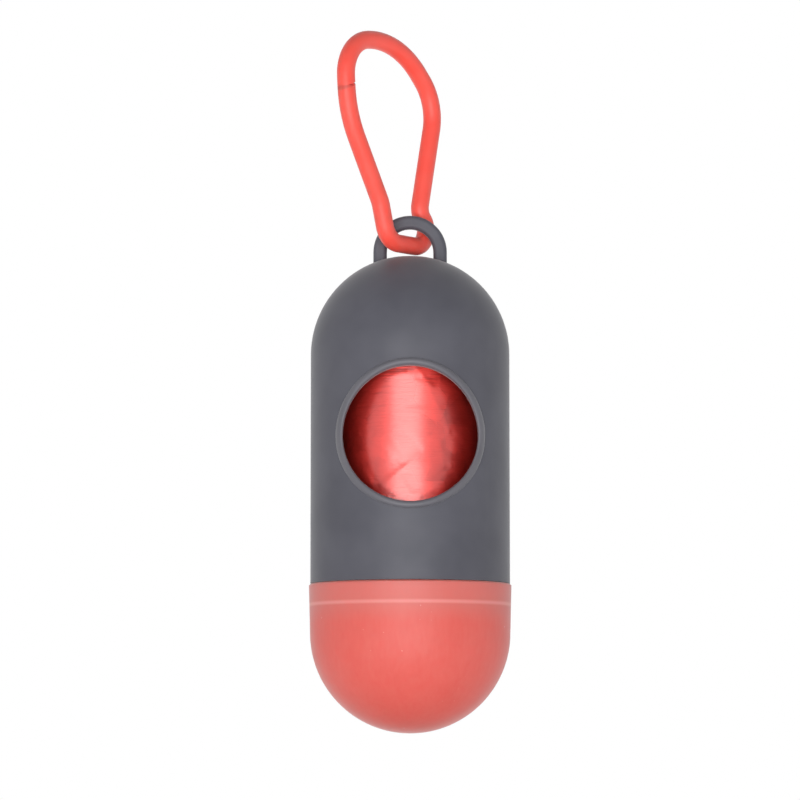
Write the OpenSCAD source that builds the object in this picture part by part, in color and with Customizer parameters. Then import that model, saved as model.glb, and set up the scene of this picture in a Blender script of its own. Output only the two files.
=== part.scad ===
// Capsule dispenser for a roll of dog waste bags.
// Millimetres. +Z is up, the capsule stands on the Z axis with its round bottom at Z = 0, the
// window faces -Y, and the hook hangs over the dome.

/* [Bag roll] */
// Diameter of the full roll
roll_d = 30; // [24:0.5:34]
// Length of the roll
roll_h = 60; // [45:1:66]
// Outer diameter of the cardboard core
core_d = 13; // [9:0.5:18]
// Wall of the cardboard core
core_wall = 1.2; // [0.8:0.1:2]
// Thickness of the outermost bag, lying wound round the rest
wrap_t = 0.3; // [0.2:0.05:0.8]
// Angle round the roll that the outermost bag covers
wrap_angle = 342; // [200:1:350]
// Direction of the outermost bag's free edge, round the roll from +X
wrap_edge = 55; // [0:1:360]
// Play of the wound film on the core, and of the outermost bag on the film
film_play = 0.1; // [0.05:0.05:0.2]
// Play between the roll and the neck round it
roll_play = 0.35; // [0.3:0.05:1]
// Gap under the roll, where its lower edge meets the bowl of the cap
seat_gap = 0.3; // [0.2:0.05:0.5]

/* [Body shell] */
// Wall of the shell
wall = 1.7; // [1.4:0.1:2.2]
// Height of the straight body, from the seam to the dome's centre
body_h = 43.7; // [42:0.1:56]
// Depth of the small flat on the crown, inside the eyelet
crown_cut = 0.4; // [0.3:0.05:0.6]

/* [Window] */
// Diameter of the dispensing window
window_d = 25.4; // [16:0.2:27]
// Drop of the window's centre below the dome's centre
window_drop = 16.6; // [15:0.1:20]
// Width of the raised bead round the window
bead_w = 1.3; // [1:0.1:2]
// Height of the bead over the wall
bead_h = 0.5; // [0.3:0.1:0.8]
// Step from the bead's foot to its narrower top
bead_step = 0.3; // [0.1:0.05:0.4]

/* [Eyelet] */
// Inner radius of the arch
eye_r = 4.45; // [4.3:0.05:5.2]
// Width of the arch's bar, seen from the front
eye_bar = 2.6; // [2:0.1:2.8]
// Thickness of the arch's bar, from front to back
eye_t = 2.2; // [1.8:0.1:2.4]
// Rounding of the bar's edges
eye_round = 0.8; // [0.3:0.1:0.85]
// Rise of the arch's centre over the top of the dome
eye_rise = 0.8; // [0.4:0.1:1]
// How deep the arch's two feet are moulded into the wall
eye_root = 1.8; // [1.5:0.1:1.9]

/* [End cap] */
// Height of the cap's straight side, from the seam to the centre of its round bottom
cap_h = 9.4; // [6:0.1:16]
// Wall of the cap
cap_wall = 1.5; // [1.2:0.1:2]
// How far the cap's rim stands proud of the shell
cap_proud = 0.27; // [0.1:0.01:0.5]
// How far the cap's round bottom stands proud of the shell
bowl_proud = 0.05; // [0:0.01:0.1]
// Height of the thick shoulder under the rim
shoulder_h = 4.1; // [2:0.1:5]
// Gap at the seam between shell and cap
seam_gap = 0.15; // [0.1:0.05:0.3]
// Chamfer of the cap's rim
rim_chamfer = 0.3; // [0.1:0.05:0.4]

/* [Screw neck] */
// Height of the neck over the seam
neck_h = 7.4; // [7:0.1:9]
// Wall of the neck
neck_wall = 0.8; // [0.6:0.1:1.2]
// Rise of the thread in one turn
thread_lead = 3; // [2.8:0.1:4]
// Height of a thread ridge over the wall that carries it
thread_depth = 0.9; // [0.6:0.05:1.1]
// Radial play between a ridge and the wall it faces
thread_play = 0.25; // [0.15:0.05:0.35]
// Width of a ridge at its foot
ridge_foot = 1.2; // [1:0.05:1.3]
// Width of a ridge at its crest
ridge_crest = 0.7; // [0.5:0.05:0.9]
// Angle that each length of ridge covers, with a break before the next
ridge_angle = 38; // [20:1:45]
// Lengths of ridge in one turn
ridges_per_turn = 6; // [5:1:8]
// Lengths of ridge on the shell and on the cap
ridge_count = 8; // [4:1:8]
// Height of the shell's first ridge over the seam
ridge_start = 1.3; // [1:0.1:1.6]

/* [Hook] */
// Thickness of the round hook
wire_d = 3.45; // [2.8:0.05:3.5]
// Turn of the hook's plane away from the eyelet's face
hook_turn = 49; // [47:1:56]
// Shift of the hook to the side, where it passes through the eyelet
hook_shift = -0.2; // [-0.3:0.05:0]
// Gap between the hook and the flat of the crown
hook_lift = 0.76; // [0.3:0.02:0.9]
// Play between the hook's arms and the faces of the eyelet
arm_play = 0.3; // [0.25:0.05:1]
// Reach of the kink beyond the place where the front arm clears the eyelet
kink_out = 4.2; // [3.4:0.1:5]
// Height of the kink over the eyelet's top
kink_up = 1.75; // [1.4:0.05:2.6]
// Reach of the front foot beyond the place where the front arm clears the eyelet
front_foot_out = 2.1; // [1.6:0.1:2.8]
// Height of the front foot over the lowest point of the hook's middle line
front_foot_up = 0.15; // [0:0.05:0.6]
// Reach of the back foot beyond the place where the back arm clears the eyelet
back_foot_out = 4.8; // [4:0.1:5.4]
// Drop of the back foot under the lowest point of the hook's middle line
back_foot_drop = 0.02; // [0:0.02:0.4]
// How far the back arm's neck stands in from the place where that arm clears the eyelet
back_neck_in = 1.2; // [0.8:0.1:1.3]
// Height of the back arm's neck over the eyelet's top
back_neck_up = 1.1; // [0.8:0.1:2]
// Height of the crown's back corner over the lowest point of the hook's middle line
crown_h = 39.7; // [36:0.5:48]
// Fall of the crown from its back corner to its front corner
crown_fall = 2.4; // [1.6:0.1:3.2]
// Reach of the crown's front corner from where the hook passes the eyelet
crown_front = 18.7; // [17:0.1:21]
// Reach of the crown's back corner, towards the front
crown_back = 3.3; // [2:0.1:5]
// Reach of the gate's bend
gate_bend_out = 17.7; // [15:0.1:20]
// Height of the gate's bend
gate_bend_h = 23.5; // [22:0.1:26]
// Reach of the shoulder on the back arm
shoulder_out = 7.8; // [6:0.1:11]
// Height of the shoulder on the back arm
shoulder_up = 28.7; // [24:0.1:32]
// Bend radius at the crown's front corner
front_bend = 7.4; // [5:0.1:7.8]
// Bend radius at the crown's back corner
back_bend = 16.9; // [10:0.1:18]
// Bend radius of the shoulder on the back arm
shoulder_bend = 9.9; // [6:0.1:12]
// Bend radius of the gate
gate_bend = 21.6; // [12:0.1:24]
// Bend radius at the foot of the front arm
front_foot_bend = 4.1; // [3.4:0.1:4.8]
// Bend radius at the foot of the back arm
back_foot_bend = 3.3; // [2.8:0.05:3.4]
// Bend radius where the back arm leaves the foot
back_neck_bend = 2.9; // [2.4:0.05:3]
// Distance of the split between gate and nose from the crown's front corner
split_drop = 8.2; // [7.8:0.1:9]
// Gap between the gate's tip and the nose
nose_gap = 0.25; // [0.15:0.05:0.4]
// Gap between the gate's round end and its seat at the kink
kink_gap = 0.15; // [0.1:0.05:0.25]

/* [Hidden] */
$fn = 96;

// Overlap of a cut with what it cuts through
over = 1;
// Depth that a ridge is sunk into the wall that carries it
sink = 0.3;
// How far a straight of the hook runs on inside the bend that follows it
bend_lap = 0.2;
// How much fuller a bend is than a straight, so that the end of the straight lies inside it
bend_full = 0.015;

// Radii, worked outwards from the roll
roll_r = roll_d / 2;
core_r = core_d / 2;
neck_in = roll_r + roll_play;
neck_out = neck_in + neck_wall;
bore_r = neck_out + thread_depth + thread_play;
body_r = bore_r + wall;
bowl_r = body_r + bowl_proud;
bowl_in = bowl_r - cap_wall;
rim_r = body_r + cap_proud;

// Heights, from the round bottom up
bowl_z = bowl_r;
seam_z = bowl_z + cap_h;
dome_z = seam_z + body_h;
window_z = dome_z - window_drop;
roll_z = bowl_z - sqrt(pow(bowl_in, 2) - pow(roll_r, 2)) + seat_gap;
crown_z = dome_z + body_r - crown_cut;
eye_z = dome_z + body_r + eye_rise;

// The hook's own plane: across the hook, and up from the lowest point of its middle line
wire_r = wire_d / 2;
hook_z = crown_z + hook_lift + wire_r;
eye_over = eye_z + eye_r + eye_bar - hook_z;
arm_out = (eye_t / 2 + wire_r + arm_play) / sin(hook_turn);
kink = [-arm_out - kink_out, eye_over + kink_up];
front_foot = [-arm_out - front_foot_out, front_foot_up];
back_foot = [arm_out + back_foot_out, -back_foot_drop];
back_neck = [arm_out - back_neck_in, eye_over + back_neck_up];
shoulder = [shoulder_out, shoulder_up];
back_corner = [-crown_back, crown_h];
front_corner = [-crown_front, crown_h - crown_fall];
gate_corner = [-gate_bend_out, gate_bend_h];
// Length of the gate, from its flexing kink to its tip
gate_reach = norm(front_corner - kink) - split_drop;

function unit(v) = v / norm(v);
// Half of the angle inside the corner b, between the ways to a and to c
function half_angle(a, b, c) = acos(unit(a - b) * unit(c - b)) / 2;
// Distance from the corner b to where its bend of radius r begins
function bend_run(a, b, c, r) = r / tan(half_angle(a, b, c));
function bend_start(a, b, c, r) = b + unit(a - b) * bend_run(a, b, c, r);
function bend_centre(a, b, c, r) =
    b + unit(unit(a - b) + unit(c - b)) * r / sin(half_angle(a, b, c));
function heading(v) = atan2(v[1], v[0]);
// Turn from the direction u to the direction v, positive to the left
function turn(u, v) = atan2(u[0] * v[1] - u[1] * v[0], u * v);

// The point q moved on, away from p, into the bend that follows
function lapped(p, q) = q + unit(q - p) * bend_lap;

// A straight length of the hook, from p to q
module rod(p, q) {
    translate(p)
        rotate([0, 0, heading(q - p)])
            rotate([0, 90, 0])
                cylinder(r = wire_r, h = norm(q - p));
}

// The bend at the corner b, between the straights from a and to c
module bend(a, b, c, r) {
    centre = bend_centre(a, b, c, r);
    from = bend_start(a, b, c, r) - centre;
    sweep = turn(b - a, c - b);
    translate(centre)
        rotate([0, 0, heading(from) + min(sweep, 0)])
            rotate_extrude(angle = abs(sweep))
                translate([r, 0])
                    circle(r = wire_r + bend_full);
}

// A straight length that starts with a round end at p
module round_ended_rod(p, q) {
    translate(p)
        rotate([0, 0, heading(q - p)])
            rotate([0, 90, 0])
                rotate_extrude() {
                    square([wire_r, norm(q - p)]);
                    intersection() {
                        circle(r = wire_r);
                        translate([0, -wire_r])
                            square([wire_r, wire_r]);
                    }
                }
}

// Stands what is drawn flat, across and up, in the hook's plane
module in_hook_plane() {
    translate([hook_shift, 0, hook_z])
        rotate([0, 0, hook_turn])
            rotate([90, 0, 0])
                children();
}

// Everything nearer to the kink than the given distance
module round_kink(r) {
    translate([each kink, -wire_d])
        cylinder(r = r, h = 2 * wire_d);
}

// The nose, cut to an arc about the kink so that the gate's tip clears it on its way
module nose() {
    top = bend_start(gate_corner, front_corner, back_corner, front_bend);
    difference() {
        rod(gate_corner, lapped(gate_corner, top));
        round_kink(gate_reach + nose_gap);
    }
}

module hook_frame() {
    c = [kink, front_foot, back_foot, back_neck, shoulder, back_corner, front_corner, gate_corner];
    r = [0, front_foot_bend, back_foot_bend, back_neck_bend, shoulder_bend, back_bend, front_bend, 0];
    last = len(c) - 2;
    color("#f8584c")
        in_hook_plane() {
            difference() {
                union() {
                    for (i = [1:last])
                        bend(c[i - 1], c[i], c[i + 1], r[i]);
                    for (i = [1:last - 1]) {
                        p = bend_start(c[i + 1], c[i], c[i - 1], r[i]);
                        q = bend_start(c[i], c[i + 1], c[i + 2], r[i + 1]);
                        rod(lapped(q, p), lapped(p, q));
                    }
                    rod(kink, lapped(kink, bend_start(kink, front_foot, back_foot, front_foot_bend)));
                }
                translate(kink)
                    sphere(r = wire_r + kink_gap);
            }
            nose();
        }
}

module hook_gate() {
    bend_low = bend_start(kink, gate_corner, front_corner, gate_bend);
    bend_high = bend_start(front_corner, gate_corner, kink, gate_bend);
    color("#f8584c")
        in_hook_plane()
            intersection() {
                union() {
                    round_ended_rod(kink, lapped(kink, bend_low));
                    bend(kink, gate_corner, front_corner, gate_bend);
                    rod(front_corner, lapped(front_corner, bend_high));
                }
                round_kink(gate_reach);
            }
}

// One row of thread ridges. The foot lies at radius r, and they stand out of it for positive
// depth and into the bore for negative depth. The rows rise to the left, as a right-hand thread does.
module ridges(r, depth, z) {
    way = sign(depth);
    rise = atan(thread_lead / (360 * (r + depth) * PI / 180));
    root = ridge_foot + (ridge_foot - ridge_crest) * sink / abs(depth);
    for (i = [0:ridge_count - 1])
        translate([0, 0, z + i * thread_lead / ridges_per_turn])
            rotate([0, 0, i * 360 / ridges_per_turn])
                rotate([rise, 0, 0])
                    rotate([0, 0, -ridge_angle / 2])
                        rotate_extrude(angle = ridge_angle)
                            polygon([
                                [r - way * sink, -root / 2],
                                [r + depth, -ridge_crest / 2],
                                [r + depth, ridge_crest / 2],
                                [r - way * sink, root / 2]
                            ]);
}

// The bar of the eyelet, cut across
module eye_section() {
    x = eye_bar / 2 - eye_round;
    y = eye_t / 2 - eye_round;
    translate([eye_r + eye_bar / 2, 0]) {
        square([eye_bar, 2 * y], center = true);
        square([2 * x, eye_t], center = true);
        for (i = [-1, 1], j = [-1, 1])
            translate([i * x, j * y])
                circle(r = eye_round);
    }
}

module eyelet() {
    leg = eye_rise + eye_root;
    translate([0, 0, eye_z])
        rotate([90, 0, 0])
            rotate_extrude(angle = 180)
                eye_section();
    for (side = [0, 1])
        translate([0, 0, eye_z - leg])
            mirror([side, 0, 0])
                linear_extrude(leg)
                    eye_section();
}

// The shell's outer form grown by a given amount: straight below, round above
module capsule_half(r, below) {
    rotate_extrude() {
        translate([0, -below])
            square([r, below]);
        intersection() {
            circle(r = r);
            square([r, r]);
        }
    }
}

// A ring that lies on the wall round the window
module bead_layer(width, height) {
    intersection() {
        translate([0, 0, window_z - dome_z])
            rotate([90, 0, 0])
                difference() {
                    cylinder(d = window_d + bead_w + width, h = body_r + over);
                    translate([0, 0, -over])
                        cylinder(d = window_d + bead_w - width, h = body_r + 3 * over);
                }
        difference() {
            capsule_half(body_r + height, body_h);
            translate([0, 0, -over])
                capsule_half(bore_r + wall / 2, body_h);
        }
    }
}

module body_shell() {
    color("#696a71") {
        translate([0, 0, dome_z])
            difference() {
                union() {
                    capsule_half(body_r, body_h);
                    bead_layer(bead_w, bead_h - bead_step / 2);
                    bead_layer(bead_w - 2 * bead_step, bead_h);
                }
                capsule_half(bore_r, body_h + over);
                translate([0, 0, window_z - dome_z])
                    rotate([90, 0, 0])
                        cylinder(d = window_d, h = body_r + 2 * over);
                translate([-body_r, -body_r, body_r - crown_cut])
                    cube([2 * body_r, 2 * body_r, over]);
            }
        eyelet();
        ridges(bore_r, -thread_depth, seam_z + ridge_start);
    }
}

module end_cap() {
    rim_z = seam_z - seam_gap;
    color("#e6756e") {
        rotate_extrude()
            difference() {
                union() {
                    intersection() {
                        translate([0, bowl_z])
                            circle(r = bowl_r);
                        square([bowl_r, bowl_z]);
                    }
                    polygon([
                        [0, bowl_z],
                        [bowl_r, bowl_z],
                        [rim_r, rim_z - rim_chamfer],
                        [rim_r - rim_chamfer, rim_z],
                        [neck_out, rim_z],
                        [neck_out, seam_z + neck_h],
                        [0, seam_z + neck_h]
                    ]);
                }
                intersection() {
                    translate([0, bowl_z])
                        circle(r = bowl_in);
                    square([bowl_r, bowl_z]);
                }
                translate([0, bowl_z])
                    square([bowl_in, cap_h - shoulder_h]);
                translate([0, bowl_z])
                    square([neck_in, cap_h + neck_h + over]);
            }
        ridges(neck_out, thread_depth, seam_z + ridge_start + thread_lead / 2);
    }
}

module roll_core() {
    color("#c8a97e")
        translate([0, 0, roll_z])
            difference() {
                cylinder(r = core_r, h = roll_h);
                translate([0, 0, -over])
                    cylinder(r = core_r - core_wall, h = roll_h + 2 * over);
            }
}

module bag_roll() {
    color("#cf2f27")
        translate([0, 0, roll_z])
            difference() {
                cylinder(r = roll_r - wrap_t - film_play, h = roll_h);
                translate([0, 0, -over])
                    cylinder(r = core_r + film_play, h = roll_h + 2 * over);
            }
}

module leading_bag() {
    color("#e0473e")
        translate([0, 0, roll_z])
            rotate([0, 0, wrap_edge])
                rotate_extrude(angle = wrap_angle)
                    translate([roll_r - wrap_t, 0])
                        square([wrap_t, roll_h]);
}

body_shell();
end_cap();
hook_frame();
hook_gate();
roll_core();
bag_roll();
leading_bag();
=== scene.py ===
"""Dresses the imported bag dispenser: capsule shell, screw cap, snap hook and roll of bags.

Everything is in metres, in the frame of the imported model: +Z up the capsule's axis, the window
towards -Y, and the lowest point of the cap at Z = 0.
"""

import logging
import math
import random
from collections.abc import Callable, Sequence
from dataclasses import dataclass, field
from enum import Enum

import bmesh
import bpy
from mathutils import Matrix, Vector


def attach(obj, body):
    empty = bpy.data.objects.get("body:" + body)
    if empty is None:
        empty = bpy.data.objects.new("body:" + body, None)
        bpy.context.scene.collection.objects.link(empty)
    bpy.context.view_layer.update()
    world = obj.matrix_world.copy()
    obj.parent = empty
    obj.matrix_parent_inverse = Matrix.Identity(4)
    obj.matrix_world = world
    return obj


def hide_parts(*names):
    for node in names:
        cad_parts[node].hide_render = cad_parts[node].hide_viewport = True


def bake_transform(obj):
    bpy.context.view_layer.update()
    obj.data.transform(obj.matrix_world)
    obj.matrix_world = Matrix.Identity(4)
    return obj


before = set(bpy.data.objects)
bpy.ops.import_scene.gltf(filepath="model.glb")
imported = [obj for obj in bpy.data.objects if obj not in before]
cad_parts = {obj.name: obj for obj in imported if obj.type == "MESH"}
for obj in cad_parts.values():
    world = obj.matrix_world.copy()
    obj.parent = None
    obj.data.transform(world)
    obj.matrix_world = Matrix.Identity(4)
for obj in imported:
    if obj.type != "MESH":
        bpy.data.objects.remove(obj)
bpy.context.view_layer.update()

log = logging.getLogger("bag_dispenser")

MM = 0.001
# The height of the window's middle, in millimetres: the bead and the bag's folds are set by it
WINDOW_Z = 55.55

Colour = tuple[float, float, float, float]
Shaper = Callable[[Vector], Vector]


class Body(Enum):
    """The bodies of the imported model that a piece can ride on."""

    HOOK = "hook"
    GATE = "gate"
    SHELL = "shell"
    CORE = "core"
    BAGS = "bags"
    CAP = "cap"


class Slot(Enum):
    """The record's material slots."""

    SHELL = "shell_plastic"
    CAP = "cap_plastic"
    HOOK = "hook_plastic"
    CARDBOARD = "cardboard"
    FILM = "bag_film"


def linear(code: str, alpha: float = 1.0) -> Colour:
    """Turns an sRGB hex colour into the linear values that shaders use.

    Args:
        code: six hex digits after a hash.
        alpha: the fourth value.

    Returns:
        Red, green and blue in linear light, and alpha.
    """
    parts = [int(code[i : i + 2], 16) / 255 for i in (1, 3, 5)]
    red, green, blue = (c / 12.92 if c <= 0.04045 else ((c + 0.055) / 1.055) ** 2.4 for c in parts)
    return red, green, blue, alpha


def per_mm(size: float) -> float:
    """Gives the scale of a pattern whose features are size millimetres wide."""
    return 1 / (size * MM)


def add_node(
    tree: bpy.types.NodeTree, kind: str, feeds: dict[str | int, object] | None = None, **settings: object
) -> bpy.types.Node:
    """Adds a node with its settings, and sets or links its inputs.

    Args:
        tree: the tree that gets the node.
        kind: Blender's name for the node's type.
        feeds: a value, or a socket to link from, for each input by name or number.
        **settings: properties of the node itself.

    Returns:
        The new node.
    """
    node = tree.nodes.new(kind)
    for name, value in settings.items():
        setattr(node, name, value)
    for socket, feed in (feeds or {}).items():
        if isinstance(feed, bpy.types.NodeSocket):
            tree.links.new(feed, node.inputs[socket])
        else:
            node.inputs[socket].default_value = feed
    return node


def new_material(name: str) -> tuple[bpy.types.Material, bpy.types.NodeTree]:
    """Starts a material with an empty node tree.

    Args:
        name: the real material's name.

    Returns:
        The material and its tree.
    """
    material = bpy.data.materials.new(name)
    material.use_nodes = True
    material.node_tree.nodes.clear()
    return material, material.node_tree


def pick_up(*pieces: bpy.types.Object) -> None:
    """Leaves just these objects selected, the first of them active, in object mode.

    Args:
        *pieces: the objects to select, or none.
    """
    if bpy.context.object is not None and bpy.context.object.mode != "OBJECT":
        bpy.ops.object.mode_set(mode="OBJECT")
    bpy.ops.object.select_all(action="DESELECT")
    for piece in pieces:
        piece.select_set(True)
    if pieces:
        bpy.context.view_layer.objects.active = pieces[0]


def settle(piece: bpy.types.Object) -> None:
    """Puts a piece's place, turn and size into its mesh."""
    pick_up(piece)
    bpy.ops.object.transform_apply(location=True, rotation=True, scale=True)


def apply_modifier(piece: bpy.types.Object, kind: str, **settings: object) -> None:
    """Adds a modifier to a piece and applies it.

    Args:
        piece: the piece that it changes.
        kind: Blender's name for the modifier's type.
        **settings: the modifier's properties.
    """
    modifier = piece.modifiers.new(kind.lower(), kind)
    for name, value in settings.items():
        setattr(modifier, name, value)
    pick_up(piece)
    bpy.ops.object.modifier_apply(modifier=modifier.name)


def reshape(piece: bpy.types.Object, rule: Shaper) -> None:
    """Moves each vertex of a settled piece to where a rule puts it.

    Args:
        piece: the piece, with its place in its mesh.
        rule: gives a vertex's new place for its old one.
    """
    for vertex in piece.data.vertices:
        vertex.co = rule(vertex.co.copy())
    piece.data.update()


def point_outwards(piece: bpy.types.Object) -> None:
    """Merges a piece's doubles and turns its faces outwards.

    Args:
        piece: the piece, settled.
    """
    pick_up(piece)
    bpy.ops.object.mode_set(mode="EDIT")
    bpy.ops.mesh.select_all(action="SELECT")
    bpy.ops.mesh.remove_doubles(threshold=0.002 * MM)
    bpy.ops.mesh.normals_make_consistent(inside=False)
    bpy.ops.object.mode_set(mode="OBJECT")


def smooth(piece: bpy.types.Object, degrees: float = 35.0) -> None:
    """Shades a piece smooth, and sharp at edges over an angle.

    Args:
        piece: the piece to shade.
        degrees: the angle from which an edge is sharp.
    """
    pick_up(piece)
    bpy.ops.object.shade_smooth_by_angle(angle=math.radians(degrees))


def dress(
    piece: bpy.types.Object,
    material: bpy.types.Material,
    body: Body,
    stands_for: Sequence[str] = (),
) -> None:
    """Gives a new piece its material, its body and the nodes that it stands for.

    Args:
        piece: the finished piece.
        material: its material.
        body: the body that it rides on.
        stands_for: the names of the nodes that it hides.
    """
    piece.data.materials.clear()
    piece.data.materials.append(material)
    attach(piece, body.value)
    if stands_for:
        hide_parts(*stands_for)
    log.info("%s: %d faces, rides on %s", piece.name, len(piece.data.polygons), body.value)


def dress_node(name: str, material: bpy.types.Material) -> None:
    """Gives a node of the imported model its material.

    Args:
        name: the node's name.
        material: its new material.
    """
    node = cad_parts[name]
    node.data.materials.clear()
    node.data.materials.append(material)
    log.info("%s: node of the packed model, in %s", name, material.name)


@dataclass(frozen=True)
class MouldedShellPolypropylene:
    """Matt grey polypropylene, moulded in a finely textured tool."""

    name: str = "moulded_polypropylene_grey"
    colour: str = "#4c4c55"
    cloud: str = "#5c5c65"
    scuff: str = "#a3a3a8"
    roughness: float = 0.55
    sheen: float = 0.27
    grain_mm: float = 0.22
    cloud_mm: float = 9.0
    scuff_mm: float = 1.6

    def make(self) -> bpy.types.Material:
        """Builds the material.

        Returns:
            A dull grey whose fine grain breaks up the light, with a few pale scuffs.
        """
        material, tree = new_material(self.name)
        place = add_node(tree, "ShaderNodeTexCoord").outputs["Object"]
        # The fine texture of the tool, which spreads the light evenly. The real one is under
        # 0.1 mm, too fine to show, so it is drawn coarser.
        grain = add_node(
            tree,
            "ShaderNodeTexNoise",
            {"Vector": place, "Scale": per_mm(self.grain_mm), "Detail": 3.0, "Roughness": 0.6},
        )
        # Slow clouds of slightly paler plastic, from the flow in the mould
        flow = add_node(
            tree,
            "ShaderNodeTexNoise",
            {"Vector": place, "Scale": per_mm(self.cloud_mm), "Detail": 2.0},
        )
        # A few short scuffs: the crests of a stretched noise
        streak = add_node(
            tree,
            "ShaderNodeMapping",
            {"Vector": place, "Rotation": (0.4, 0.9, 0.3), "Scale": (1.0, 0.22, 0.55)},
        )
        worn = add_node(
            tree,
            "ShaderNodeTexNoise",
            {"Vector": streak.outputs[0], "Scale": per_mm(self.scuff_mm), "Detail": 4.0, "Roughness": 0.7},
        )
        scuffs = add_node(
            tree,
            "ShaderNodeMapRange",
            {"Value": worn.outputs[0], "From Min": 0.735, "From Max": 0.79, "To Max": 0.55},
        )
        mottle = add_node(
            tree,
            "ShaderNodeMapRange",
            {"Value": flow.outputs[0], "From Min": 0.35, "From Max": 0.65, "To Max": 0.5},
        )
        base = add_node(
            tree,
            "ShaderNodeMix",
            {0: mottle.outputs[0], 6: linear(self.colour), 7: linear(self.cloud)},
            data_type="RGBA",
        )
        shade = add_node(
            tree,
            "ShaderNodeMix",
            {0: scuffs.outputs[0], 6: base.outputs[2], 7: linear(self.scuff)},
            data_type="RGBA",
        )
        dull = add_node(
            tree,
            "ShaderNodeMapRange",
            {"Value": grain.outputs[0], "To Min": self.roughness - 0.06, "To Max": self.roughness + 0.08},
        )
        relief = add_node(
            tree,
            "ShaderNodeBump",
            {"Height": grain.outputs[0], "Strength": 0.25, "Distance": 0.02 * MM},
        )
        shader = add_node(
            tree,
            "ShaderNodeBsdfPrincipled",
            {
                "Base Color": shade.outputs[2],
                "Roughness": dull.outputs[0],
                "IOR": 1.49,
                "Sheen Weight": self.sheen,
                "Sheen Roughness": 0.35,
                "Normal": relief.outputs[0],
            },
        )
        add_node(tree, "ShaderNodeOutputMaterial", {"Surface": shader.outputs[0]})
        return material


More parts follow.
